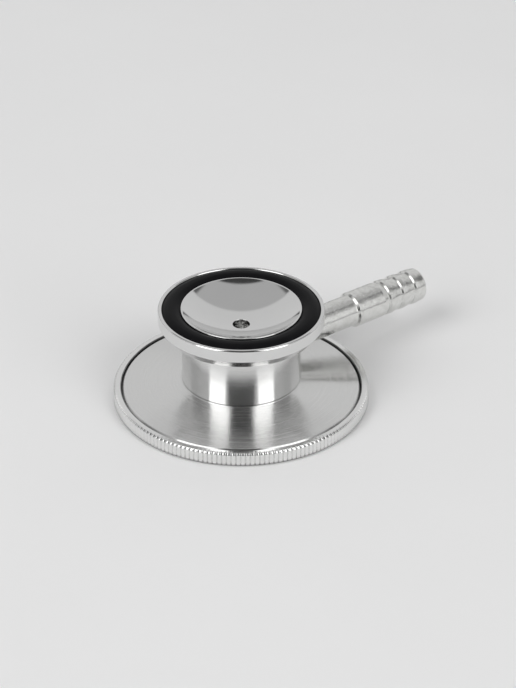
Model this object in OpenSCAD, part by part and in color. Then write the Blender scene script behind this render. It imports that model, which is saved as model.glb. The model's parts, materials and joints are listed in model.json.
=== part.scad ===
// Two-sided chestpiece of a stethoscope: a polished bell on top, a diaphragm underneath,
// and between them a turning stem that opens the sound path to one side or the other.
// Millimetres. The origin is the centre of the retaining ring's foot, +Z runs up through
// the bell, and +X runs out along the stem.

/* [Retaining ring] */
// Radial thickness of the ring, from its thread to the knurl crests
ring_wall = 1.45; // [1.2:0.05:2]
// Thickness of the foot that the diaphragm lies on
foot_t = 0.5; // [0.4:0.05:0.8]
// How far the foot reaches in under the plate's rim
foot_reach = 1.4; // [1:0.1:2]
// How far the ring stands above the plate's rim
ring_stand = 0.15; // [0.05:0.05:0.4]
// Number of knurls round the ring
knurl_count = 174; // [120:2:200]
// Depth of one knurl
knurl_depth = 0.2; // [0.1:0.02:0.4]
// How much of one knurl's width the flat on its crest takes
knurl_flat = 0.6; // [0.1:0.02:0.7]
// How far the ring's upper chamfer reaches in past the knurls
top_chamfer_past = 0.12; // [0.05:0.01:0.3]
// How far the ring's lower chamfer reaches in past the knurls
foot_chamfer_past = 0.04; // [0.02:0.01:0.2]
// Chamfer on the ring's upper inner edge, one side of the seam
seam_chamfer = 0.2; // [0.1:0.05:0.3]

/* [Diaphragm and gasket] */
// Thickness of the diaphragm
diaphragm_t = 0.25; // [0.15:0.05:0.5]
// Thickness of the gasket between the diaphragm and the plate
gasket_t = 0.3; // [0.2:0.05:0.6]
// Width of the gasket and of the land that presses on it
land_w = 1.3; // [0.8:0.1:2]
// Gap between the edge of the diaphragm or gasket and the ring's wall
disc_gap = 0.15; // [0.05:0.05:0.3]

/* [Diaphragm plate] */
// Radius of the plate over its rim thread
plate_r = 22; // [20:0.25:26]
// Thickness of the plate's rim
rim_t = 1.4; // [1.1:0.1:2]
// Chamfer on the rim's upper edge, the other side of the seam
rim_chamfer = 0.4; // [0.1:0.05:0.5]
// Rise of the plate's upper face from the rim to the hub
plate_rise = 1.9; // [1.2:0.1:3]
// Depth of the sound chamber at its edge
chamber_edge = 0.2; // [0.1:0.05:0.4]
// Rise of the chamber's ceiling from its edge to the hub
chamber_rise = 0.65; // [0.3:0.05:0.9]

/* [Hub] */
// Radius of the hub
hub_r = 10.87; // [10:0.05:12.5]
// Height of the hub above the plate
hub_h = 10.2; // [9.5:0.1:13]
// Radius of the threaded spigot that screws through the plate
spigot_r = 8; // [7.4:0.1:9]
// Edge break round the foot of the hub
hub_edge = 0.2; // [0.05:0.01:0.3]
// Height of the stem's axis above the foot of the hub
stem_rise = 4.65; // [4.3:0.05:5]
// Radius of the air passage from the bell down to the diaphragm
air_r = 1.55; // [1.3:0.05:1.7]

/* [Bell] */
// Outer radius of the bell
bell_r = 15.1; // [14.9:0.1:18]
// Height of the bell above the hub
bell_h = 4.1; // [3.9:0.1:5]
// Height of the bevel under the bell's edge
bevel_h = 1.75; // [1:0.05:2]
// Width of the bevel under the bell's edge
bevel_w = 1.4; // [0.8:0.1:2]
// Rounding of the bell's upper edge
lip_round = 0.5; // [0.2:0.05:0.6]
// Radius of the bowl at its rim
bowl_r = 10.68; // [10:0.02:10.8]
// Depth of the bowl
bowl_depth = 3.55; // [2.8:0.05:3.6]
// Radius of the threaded spigot under the bell
bell_spigot_r = 7; // [5:0.1:8]
// Depth of the thread in the hub that takes the bell's spigot
bell_spigot_h = 1.9; // [1.5:0.1:2.1]

/* [Non-chill ring] */
// Inner radius of the groove that holds the non-chill ring
groove_r = 10.98; // [10.94:0.02:11.4]
// Width of that groove
groove_w = 3.32; // [2.6:0.02:3.4]
// Depth of that groove
groove_depth = 1.4; // [0.8:0.1:1.6]
// How far the non-chill ring stands above the bell's lip
ring_crown = 0.25; // [0.1:0.05:0.5]
// Radius of the non-chill ring's rounded top
crown_round = 3.4; // [3:0.1:6]
// Gap between the non-chill ring and the walls of its groove
soft_gap = 0.02; // [0.01:0.01:0.04]

/* [Stem] */
// Radius of the stem's shank
shank_r = 3; // [2.8:0.05:3.1]
// How far the stem reaches past the head's axis into the hub
stem_inner = 7.9; // [7.3:0.1:8.5]
// Distance from the head's axis to the collar
collar_x = 25.3; // [24:0.1:30]
// Radius of the collar that the tube seals on
collar_r = 3.4; // [3.2:0.05:3.8]
// Length of the collar's straight part
collar_l = 6.1; // [3:0.1:8]
// Length of the taper behind the collar
collar_taper = 1.2; // [0.5:0.05:1.5]
// Depth of the neck between the collar and the first barb, below the first barb's crest
barb_depth = 0.3; // [0.15:0.05:0.4]
// Radius of the first barb
barb_r = 3.4; // [3.1:0.05:3.6]
// How much smaller each next barb is
barb_step = 0.03; // [0:0.01:0.1]
// Number of barbs
barb_count = 3; // [2:1:5]
// Distance from one barb to the next
barb_pitch = 3.15; // [2.6:0.01:4]
// Length of each barb's steep face, on the head's side
barb_face = 0.3; // [0.15:0.05:0.4]
// Length of each barb's straight crest
barb_crest = 0.8; // [0.3:0.1:1.2]
// Length of the plain end behind the last barb's crest
tip_l = 1.9; // [1:0.1:3]
// How much that plain end narrows towards the tip
tip_drop = 0.15; // [0:0.05:0.3]
// Chamfer at the stem's tip
tip_chamfer = 0.4; // [0.2:0.05:0.6]
// Radius of the sound bore through the stem
bore_r = 1.4; // [1.1:0.05:1.5]

/* [Valve] */
// Radius of the port in the side of the stem
port_r = 1.3; // [1:0.05:1.4]
// How far the sound bore runs past the head's axis
bore_past = 1.6; // [1.4:0.1:2]
// Thickness of each O-ring
o_ring_t = 0.8; // [0.6:0.05:0.9]
// Distance of each O-ring from the head's axis
o_ring_x = 3; // [2.7:0.05:3.2]
// Distance of the detent behind the head's axis
detent_x = 5.2; // [4.9:0.1:5.6]
// Radius of the detent ball
ball_r = 0.9; // [0.7:0.05:1]
// Depth of the groove that the ball runs in
detent_depth = 0.3; // [0.15:0.05:0.4]
// How much deeper the two click dimples are than that groove
dimple_depth = 0.25; // [0.1:0.05:0.3]
// Distance of the lock screw in front of the head's axis
lock_x = 5.2; // [4.9:0.1:5.6]
// Depth of the groove that the lock screw's point runs in
lock_depth = 0.7; // [0.4:0.1:0.8]
// Radius of the lock screw's point
point_r = 0.8; // [0.5:0.05:0.9]
// Height of the lock screw's threaded part
lock_h = 2.6; // [2:0.1:3]
// Radius of the detent screw and the lock screw
screw_r = 1.25; // [1.1:0.05:1.5]
// Height of the detent screw
detent_screw_h = 1.25; // [1:0.05:1.5]
// Width of the driver slot in each screw
slot_w = 0.4; // [0.3:0.05:0.6]
// Depth of the driver slot in each screw
slot_depth = 0.5; // [0.3:0.05:0.7]
// Thickness of the detent spring's wire
wire_t = 0.24; // [0.16:0.02:0.3]
// Number of turns in the detent spring
coil_turns = 3.5; // [2.5:0.5:4]

/* [Fits] */
// Radial gap in each threaded joint, which is drawn plain
thread_gap = 0.05; // [0.02:0.01:0.08]
// Radial gap between the stem and the hub's bore
turn_gap = 0.03; // [0.02:0.01:0.08]
// Gap left at the blind end of a bore or a thread
end_gap = 0.1; // [0.05:0.05:0.3]
// Gap between the detent ball or the lock screw's point and what turns past it
point_gap = 0.03; // [0.02:0.01:0.06]

/* [Hidden] */
$fn = 96;
cut = 1;

// Heights of the stack, from the foot up
gasket_z = foot_t + diaphragm_t;
rim_z = gasket_z + gasket_t;
rim_top_z = rim_z + rim_t;
ring_top_z = rim_top_z + ring_stand;
hub_z = rim_top_z + plate_rise;
bell_z = hub_z + hub_h;
lip_z = bell_z + bell_h;
stem_z = hub_z + stem_rise;
ceiling_z = rim_z + chamber_edge + chamber_rise;
thread_floor_z = bell_z - bell_spigot_h;

// Radii that follow from what fits in what
ring_bore_r = plate_r + thread_gap;
ring_r = ring_bore_r + ring_wall;
knurl_root_r = ring_r - knurl_depth;
knurl_pitch = 360 / knurl_count;
// One knurl's points, in knurls from the middle of its crest: the crest's two edges, then the valley
knurl_turns = [-knurl_flat / 2, knurl_flat / 2, 1 / 2];
knurl_points = len(knurl_turns) * knurl_count;
foot_r = plate_r - foot_reach;
disc_r = ring_bore_r - disc_gap;
chamber_r = plate_r - land_w;
stem_bore_r = shank_r + turn_gap;
screw_hole_r = screw_r + thread_gap;
bowl_sphere_r = (bowl_r * bowl_r + bowl_depth * bowl_depth) / (2 * bowl_depth);

// The non-chill ring's seat
seat_z = lip_z - groove_depth;
soft_mid_r = groove_r + groove_w / 2;
soft_top_z = lip_z + ring_crown;
crown_flat = 0.35;
crown_z = soft_top_z - sqrt(crown_round * crown_round - crown_flat * crown_flat);

// Places along the stem
barb_x = collar_x + (collar_r - shank_r) + collar_l + collar_taper;
last_barb_r = barb_r - (barb_count - 1) * barb_step;
tip_r = last_barb_r - tip_drop;
tip_x = barb_x + (barb_count - 1) * barb_pitch + barb_face + barb_crest + tip_l;

// The detent, from the stem down to the foot of the hub's spigot
ball_z = stem_z - (shank_r - detent_depth) - point_gap - ball_r;
ball_hole_r = ball_r + point_gap;
detent_screw_z = ceiling_z + detent_screw_h;
coil_r = ball_hole_r - point_gap - wire_t;
coil_foot_z = detent_screw_z + wire_t / 2;
coil_head_z = ball_z - sqrt(pow(ball_r + wire_t / 2, 2) - coil_r * coil_r);

// The lock screw's point
point_z = stem_z - (shank_r - lock_depth) - point_gap;
lock_z = ceiling_z + lock_h;
point_hole_r = point_r + point_gap;

// Solids of revolution about the stem's axis are drawn upright and laid along +X
module along_stem() {
    translate([0, 0, stem_z]) rotate([0, 90, 0]) children();
}

// Outer form of the bell, as half a section
module bell_section() {
    polygon([
        [0, thread_floor_z + end_gap],
        [bell_spigot_r, thread_floor_z + end_gap],
        [bell_spigot_r, bell_z],
        [bell_r - bevel_w, bell_z],
        [bell_r, bell_z + bevel_h],
        [bell_r, lip_z - lip_round],
        [bell_r - lip_round, lip_z],
        [0, lip_z]
    ]);
    translate([bell_r - lip_round, lip_z - lip_round]) circle(r = lip_round);
}

module bell_cup() {
    color("gainsboro") difference() {
        rotate_extrude() bell_section();
        translate([0, 0, lip_z - bowl_depth + bowl_sphere_r]) sphere(r = bowl_sphere_r);
        rotate_extrude() translate([groove_r, seat_z]) square([groove_w, groove_depth + cut]);
        translate([0, 0, thread_floor_z - cut]) cylinder(r = air_r, h = bell_h + bell_spigot_h + cut);
    }
}

module non_chill_ring() {
    color("#1b1b1e") rotate_extrude() intersection() {
        translate([groove_r + soft_gap, seat_z])
            square([groove_w - 2 * soft_gap, groove_depth + ring_crown]);
        translate([soft_mid_r, crown_z]) circle(r = crown_round);
    }
}

module hub() {
    color("silver") difference() {
        union() {
            translate([0, 0, hub_z]) cylinder(r1 = hub_r - hub_edge, r2 = hub_r, h = hub_edge);
            translate([0, 0, hub_z + hub_edge]) cylinder(r = hub_r, h = hub_h - hub_edge);
            translate([0, 0, ceiling_z]) cylinder(r = spigot_r, h = hub_z - ceiling_z + hub_edge);
        }
        along_stem() translate([0, 0, -stem_inner - end_gap])
            cylinder(r = stem_bore_r, h = stem_inner + end_gap + hub_r + cut);
        translate([0, 0, thread_floor_z])
            cylinder(r = bell_spigot_r + thread_gap, h = bell_spigot_h + cut);
        translate([0, 0, ceiling_z - cut]) cylinder(r = air_r, h = bell_z - ceiling_z);
        screw_hole(-detent_x, detent_screw_h + end_gap, ball_hole_r);
        screw_hole(lock_x, lock_h + end_gap, point_hole_r);
    }
}

// A threaded hole up from the spigot's foot, with a narrower hole on into the stem's bore
module screw_hole(x, depth, narrow_r) {
    translate([x, 0, ceiling_z - cut]) cylinder(r = screw_hole_r, h = depth + cut);
    translate([x, 0, ceiling_z]) cylinder(r = narrow_r, h = stem_z - ceiling_z);
}

module diaphragm_plate() {
    color("silver") rotate_extrude() polygon([
        [spigot_r + thread_gap, ceiling_z],
        [chamber_r, rim_z + chamber_edge],
        [chamber_r, rim_z],
        [plate_r, rim_z],
        [plate_r, rim_top_z - rim_chamfer],
        [plate_r - rim_chamfer, rim_top_z],
        [hub_r, hub_z],
        [spigot_r + thread_gap, hub_z]
    ]);
}

// One line of points round the knurls: each has the two edges of its crest, then the valley beside it.
// Each of crest and valley is a radius and a height.
function knurl_line(crest, valley) = [
    for (i = [0 : knurl_points - 1])
        let (
            step = i % len(knurl_turns),
            a = knurl_pitch * (floor(i / len(knurl_turns)) + knurl_turns[step]),
            at = step < len(knurl_turns) - 1 ? crest : valley
        )
            [at[0] * cos(a), at[0] * sin(a), at[1]]
];

// The triangles between one line of points and the next line up
function knurl_band(low) = [
    for (i = [0 : knurl_points - 1])
        let (a = low + i, b = low + (i + 1) % knurl_points)
            each [[a, a + knurl_points, b + knurl_points], [a, b + knurl_points, b]]
];

// A knurled disc, turned to a chamfer at both ends, which cuts each knurl to a point
module knurled_disc() {
    foot_edge = [ring_r - knurl_depth - foot_chamfer_past, 0];
    top_edge = [ring_r - knurl_depth - top_chamfer_past, ring_top_z];
    lines = [
        knurl_line(foot_edge, foot_edge),
        knurl_line([ring_r, foot_chamfer_past + knurl_depth], [knurl_root_r, foot_chamfer_past]),
        knurl_line([ring_r, ring_top_z - top_chamfer_past - knurl_depth],
                   [knurl_root_r, ring_top_z - top_chamfer_past]),
        knurl_line(top_edge, top_edge)
    ];
    bands = [for (line = [0 : 2]) each knurl_band(line * knurl_points)];
    caps = [
        [for (i = [0 : knurl_points - 1]) i],
        [for (i = [0 : knurl_points - 1]) 4 * knurl_points - 1 - i]
    ];
    polyhedron(points = [for (line = lines) each line], faces = concat(caps, bands));
}

module retaining_ring() {
    color("lightgray") difference() {
        knurled_disc();
        translate([0, 0, -cut]) cylinder(r = foot_r, h = ring_top_z + 2 * cut);
        translate([0, 0, foot_t]) cylinder(r = ring_bore_r, h = ring_top_z);
        translate([0, 0, ring_top_z - seam_chamfer])
            cylinder(r1 = ring_bore_r, r2 = ring_bore_r + 2 * seam_chamfer, h = 2 * seam_chamfer);
    }
}

module diaphragm() {
    color("whitesmoke") translate([0, 0, foot_t]) cylinder(r = disc_r, h = diaphragm_t);
}

module diaphragm_gasket() {
    color("#26262a") translate([0, 0, gasket_z]) difference() {
        cylinder(r = disc_r, h = gasket_t);
        translate([0, 0, -cut]) cylinder(r = chamber_r, h = gasket_t + 2 * cut);
    }
}

// Points of one barb: steep face, crest, and the foot of its taper
function barb(i) =
    let (x = barb_x + i * barb_pitch, r = barb_r - i * barb_step)
        [[r - barb_depth, x], [r, x + barb_face], [r, x + barb_face + barb_crest]];

function stem_outline() = concat(
    [
        [0, -stem_inner],
        [shank_r, -stem_inner],
        [shank_r, collar_x],
        [collar_r, collar_x + collar_r - shank_r],
        [collar_r, collar_x + collar_r - shank_r + collar_l]
    ],
    [for (i = [0 : barb_count - 1]) each barb(i)],
    [
        [tip_r, tip_x - tip_chamfer],
        [tip_r - tip_chamfer, tip_x],
        [0, tip_x]
    ]
);

module stem() {
    color("#c9cac8") difference() {
        along_stem() rotate_extrude() polygon(stem_outline());
        along_stem() translate([0, 0, -bore_past])
            cylinder(r = bore_r, h = bore_past + tip_x + cut);
        translate([0, 0, stem_z - shank_r - cut]) cylinder(r = port_r, h = shank_r + cut);
        along_stem() for (side = [-1, 1]) ring_groove(
            side * o_ring_x, o_ring_t + 2 * point_gap, o_ring_t + point_gap);
        along_stem() ring_groove(lock_x, 2 * point_hole_r, lock_depth);
        along_stem() translate([0, 0, -detent_x]) rotate_extrude()
            translate([shank_r - detent_depth + ball_hole_r, 0]) circle(r = ball_hole_r);
        for (side = [-1, 1]) translate([-detent_x, 0, stem_z + side * (stem_z - ball_z - dimple_depth)])
            sphere(r = ball_r);
    }
}

// A square groove round the stem, centred at x
module ring_groove(x, width, depth) {
    translate([0, 0, x - width / 2]) difference() {
        cylinder(r = shank_r + cut, h = width);
        translate([0, 0, -cut]) cylinder(r = shank_r - depth, h = width + 2 * cut);
    }
}

module o_ring(x) {
    color("#202022") along_stem() translate([0, 0, x]) rotate_extrude()
        translate([shank_r - o_ring_t / 2, 0]) circle(r = o_ring_t / 2, $fn = 32);
}

module front_o_ring() {
    o_ring(o_ring_x);
}

module rear_o_ring() {
    o_ring(-o_ring_x);
}

module detent_ball() {
    color("#8f9296") translate([-detent_x, 0, ball_z]) sphere(r = ball_r);
}

// Points of the wire's six-sided outline at share t of the way up the coil
function wire_ring(t) =
    let (a = 360 * coil_turns * t, z = coil_foot_z + t * (coil_head_z - coil_foot_z))
        [for (k = [0 : 5]) let (r = coil_r + wire_t / 2 * cos(60 * k))
            [r * cos(a), r * sin(a), z + wire_t / 2 * sin(60 * k)]];

module detent_spring() {
    steps = ceil(coil_turns * 16);
    points = [for (s = [0 : steps]) each wire_ring(s / steps)];
    sides = [for (s = [0 : steps - 1]) for (k = [0 : 5])
        [6 * s + k, 6 * s + (k + 1) % 6, 6 * s + 6 + (k + 1) % 6, 6 * s + 6 + k]];
    ends = [[for (k = [0 : 5]) 5 - k], [for (k = [0 : 5]) 6 * steps + k]];
    color("#a9abad") translate([-detent_x, 0, 0]) polyhedron(points = points, faces = concat(ends, sides));
}

// A screw with a driver slot in its foot
module slotted(x, h) {
    translate([x, 0, ceiling_z]) difference() {
        cylinder(r = screw_r, h = h);
        translate([-screw_r - cut, -slot_w / 2, -cut])
            cube([2 * (screw_r + cut), slot_w, slot_depth + cut]);
    }
}

module detent_screw() {
    color("#9a9c9f") slotted(-detent_x, detent_screw_h);
}

module lock_screw() {
    color("#9a9c9f") union() {
        slotted(lock_x, lock_h);
        translate([lock_x, 0, lock_z - slot_depth]) cylinder(r = point_r, h = point_z - lock_z + slot_depth);
    }
}

bell_cup();
non_chill_ring();
hub();
diaphragm_plate();
retaining_ring();
diaphragm();
diaphragm_gasket();
stem();
front_o_ring();
rear_o_ring();
detent_ball();
detent_spring();
detent_screw();
lock_screw();
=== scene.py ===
"""Looks of a two-sided stethoscope chestpiece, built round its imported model.

The head stands on its diaphragm ring with the bell up, and the stem runs out along +X.
Sizes of the pieces are in millimetres, and meshes are in metres.
"""

import json
import logging
import math
from dataclasses import dataclass
from enum import Enum
from typing import Callable

import bmesh
import bpy
from mathutils import Matrix, Quaternion, Vector, noise

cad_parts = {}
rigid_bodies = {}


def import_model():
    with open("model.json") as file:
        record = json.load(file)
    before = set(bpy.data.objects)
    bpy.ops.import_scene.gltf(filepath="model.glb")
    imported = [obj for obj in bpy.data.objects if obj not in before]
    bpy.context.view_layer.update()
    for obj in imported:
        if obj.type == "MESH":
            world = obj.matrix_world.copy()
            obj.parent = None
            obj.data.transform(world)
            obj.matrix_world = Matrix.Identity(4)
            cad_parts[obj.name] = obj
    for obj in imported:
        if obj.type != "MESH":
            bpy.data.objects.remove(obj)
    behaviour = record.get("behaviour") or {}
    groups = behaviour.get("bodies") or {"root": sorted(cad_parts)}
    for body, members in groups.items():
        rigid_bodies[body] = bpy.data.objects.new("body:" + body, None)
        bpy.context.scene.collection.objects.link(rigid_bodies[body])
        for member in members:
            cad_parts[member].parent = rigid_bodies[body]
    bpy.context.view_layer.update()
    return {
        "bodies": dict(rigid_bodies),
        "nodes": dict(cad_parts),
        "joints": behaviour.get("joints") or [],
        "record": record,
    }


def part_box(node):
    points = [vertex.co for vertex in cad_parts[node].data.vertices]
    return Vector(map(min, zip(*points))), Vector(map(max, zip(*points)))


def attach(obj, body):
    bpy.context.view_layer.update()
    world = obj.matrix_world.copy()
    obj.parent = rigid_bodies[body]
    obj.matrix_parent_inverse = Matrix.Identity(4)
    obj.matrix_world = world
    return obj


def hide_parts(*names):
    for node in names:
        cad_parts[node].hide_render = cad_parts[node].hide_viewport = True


LOG = logging.getLogger("chestpiece")
MM = 0.001
EDGE = 0.05
FILLET_STEPS = 4
FILLET_SHARE = 0.45
SAME_POINT = 1e-8
SHARP_ANGLE = math.radians(38)

Point = tuple[float, float]
Color = tuple[float, float, float]
Ramp = tuple[float, float, float, float]
Socket = bpy.types.NodeSocket
Object = bpy.types.Object
Material = bpy.types.Material


class Axis(Enum):
    """The axis that a turned piece is turned about."""

    HEAD = "up through the head"
    STEM = "out along the stem"


class Blend(Enum):
    """How a value eases from one end of its range to the other."""

    STRAIGHT = "LINEAR"
    EASED = "SMOOTHSTEP"


class Measure(Enum):
    """How far a point is from the head's foot, or from its axis."""

    HEIGHT = "height"
    RADIUS = "radius"


@dataclass(frozen=True)
class Seam:
    """Where painted shade starts beside a seam or along a foot, and where it is full, in millimetres."""

    measure: Measure
    clean: float
    full: float


@dataclass(frozen=True)
class Corner:
    """A corner of a turned outline, in millimetres, with the radius that it is rounded to."""

    across: float
    along: float
    rounding: float = EDGE


def rounded(corners: list[Corner], closed: bool = True) -> list[Point]:
    """Turns corners into an outline with an arc at each rounded corner.

    Args:
        corners: The corners in order round the section.
        closed: Whether the last corner joins the first.

    Returns:
        The outline's points, with as many for each rounded corner.
    """
    points: list[Point] = []
    last = len(corners) - 1
    for index, corner in enumerate(corners):
        here = Vector((corner.across, corner.along))
        if corner.rounding == 0 or (not closed and index in (0, last)):
            points.append((here.x, here.y))
            continue
        before, after = corners[index - 1], corners[(index + 1) % len(corners)]
        back = Vector((before.across, before.along)) - here
        ahead = Vector((after.across, after.along)) - here
        half = back.angle(ahead) / 2
        room = FILLET_SHARE * min(back.length, ahead.length)
        reach = min(corner.rounding / math.tan(half), room)
        radius = reach * math.tan(half)
        middle = (back.normalized() + ahead.normalized()).normalized()
        centre = here + middle * (radius / math.sin(half))
        first = here + back.normalized() * reach - centre
        final = here + ahead.normalized() * reach - centre
        start = math.atan2(first.y, first.x)
        sweep = (math.atan2(final.y, final.x) - start + math.pi) % math.tau - math.pi
        for step in range(FILLET_STEPS + 1):
            angle = start + sweep * step / FILLET_STEPS
            points.append((centre.x + radius * math.cos(angle), centre.y + radius * math.sin(angle)))
    return points


def arc(centre: Point, radius: float, start: float, end: float, steps: int) -> list[Corner]:
    """Lists the points of an arc as plain corners.

    Args:
        centre: The arc's centre, across and along the axis.
        radius: The arc's radius.
        start: The first angle in radians, from the direction across the axis.
        end: The last angle.
        steps: How many chords the arc has.

    Returns:
        One corner without rounding for each point.
    """
    angles = [start + (end - start) * step / steps for step in range(steps + 1)]
    return [Corner(centre[0] + radius * math.cos(a), centre[1] + radius * math.sin(a), 0)
            for a in angles]


def closer(points: list[Point], longest: float) -> list[Point]:
    """Adds points to an open outline so that no stretch is longer than a limit.

    Args:
        points: The outline.
        longest: The longest stretch wanted.

    Returns:
        The outline with its long stretches divided evenly.
    """
    dense: list[Point] = []
    for (r0, x0), (r1, x1) in zip(points, points[1:]):
        parts = max(1, math.ceil(math.hypot(r1 - r0, x1 - x0) / longest))
        dense += [(r0 + (r1 - r0) * k / parts, x0 + (x1 - x0) * k / parts) for k in range(parts)]
    return dense + [points[-1]]


def box_of(node: str) -> tuple[Vector, Vector]:
    """Gives the lowest and highest corners of a CAD node's box, in millimetres."""
    return tuple(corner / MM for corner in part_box(node))


def linked(name: str, shape: bmesh.types.BMesh) -> Object:
    """Turns a shape into an object of the scene, and frees the shape.

    Args:
        name: The object's name.
        shape: The shape, in metres.

    Returns:
        The object.
    """
    mesh = bpy.data.meshes.new(name)
    shape.to_mesh(mesh)
    shape.free()
    obj = bpy.data.objects.new(name, mesh)
    bpy.context.scene.collection.objects.link(obj)
    return obj


@dataclass(frozen=True)
class Turning:
    """A solid of revolution, or one whose section changes as it goes round."""

    name: str
    section_at: Callable[[float], list[Point]]
    columns: int = 256
    closed: bool = True
    axis: Axis = Axis.HEAD
    height: float = 0.0
    turns: tuple[float, ...] = ()

    def piece(self) -> Object:
        """Makes the mesh and its object, with every face turned outwards.

        Returns:
            The new object, linked to the scene.
        """
        turns = self.turns or [math.tau * i / self.columns for i in range(self.columns)]
        vertices = []
        for turn in turns:
            section = self.section_at(turn)
            for across, along in section:
                u, v, x = across * math.cos(turn) * MM, across * math.sin(turn) * MM, along * MM
                vertices.append((u, v, x) if self.axis is Axis.HEAD else (x, u, v + self.height * MM))
        columns, rows = len(turns), len(section)
        faces = []
        for column in range(columns):
            here, there = column * rows, (column + 1) % columns * rows
            for row in range(rows if self.closed else rows - 1):
                above = (row + 1) % rows
                faces.append((here + row, there + row, there + above, here + above))
        draft = bpy.data.meshes.new("draft")
        draft.from_pydata(vertices, [], faces)
        shape = bmesh.new()
        shape.from_mesh(draft)
        bpy.data.meshes.remove(draft)
        bmesh.ops.remove_doubles(shape, verts=shape.verts, dist=SAME_POINT)
        bmesh.ops.recalc_face_normals(shape, faces=shape.faces)
        return linked(self.name, shape)


def cut_away(piece: Object, cutters: list[Object]) -> None:
    """Cuts shapes out of a piece and removes the cutters.

    Args:
        piece: The piece to cut.
        cutters: Closed solids that aren't kept.
    """
    for cutter in cutters:
        modifier = piece.modifiers.new("cut", "BOOLEAN")
        modifier.operation = "DIFFERENCE"
        modifier.solver = "MANIFOLD"
        modifier.object = cutter
    graph = bpy.context.evaluated_depsgraph_get()
    mesh = bpy.data.meshes.new_from_object(piece.evaluated_get(graph))
    mesh.name = piece.name
    piece.modifiers.clear()
    piece.data = mesh
    for cutter in cutters:
        bpy.data.objects.remove(cutter, do_unlink=True)


def drill(name: str, radius: float, foot: Vector, head: Vector) -> Object:
    """Makes a round cutter between two points.

    Args:
        name: The cutter's name.
        radius: Its radius in millimetres.
        foot: Where it starts, in millimetres.
        head: Where it ends.

    Returns:
        The cutter.
    """
    shape = bmesh.new()
    turn = (head - foot).to_track_quat("Z", "Y").to_matrix().to_4x4()
    centre = Matrix.Translation((foot + head) / 2 * MM)
    bmesh.ops.create_cone(
        shape, cap_ends=True, segments=64, radius1=radius * MM, radius2=radius * MM,
        depth=(head - foot).length * MM, matrix=centre @ turn)
    return linked(name, shape)


def finish_piece(piece: Object, body: str, slot: str, material: Material, *nodes: str) -> None:
    """Shades, dresses and seats a piece that stands for CAD nodes.

    Args:
        piece: The piece.
        body: The body that it rides on.
        slot: The record's material slot; not used.
        material: Its finish.
        *nodes: The CAD nodes that it stands for.
    """
    piece.data.shade_smooth()
    piece.data.set_sharp_from_angle(angle=SHARP_ANGLE)
    weighted = piece.modifiers.new("even_shading", "WEIGHTED_NORMAL")
    weighted.keep_sharp = True
    piece.data.materials.clear()
    piece.data.materials.append(material)
    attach(piece, body)
    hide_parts(*nodes)
    LOG.info("%s: %d faces", piece.name, len(piece.data.polygons))


def dress_node(frame: dict, node: str, material: Material) -> None:
    """Gives a CAD node that stays in view its finish.

    Args:
        node: The node's name.
        material: The finish.
    """
    obj = frame["nodes"][node]
    if not obj.material_slots:
        obj.data.materials.append(material)
    for place in obj.material_slots:
        place.material = material
    LOG.info("%s: dressed", node)


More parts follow.
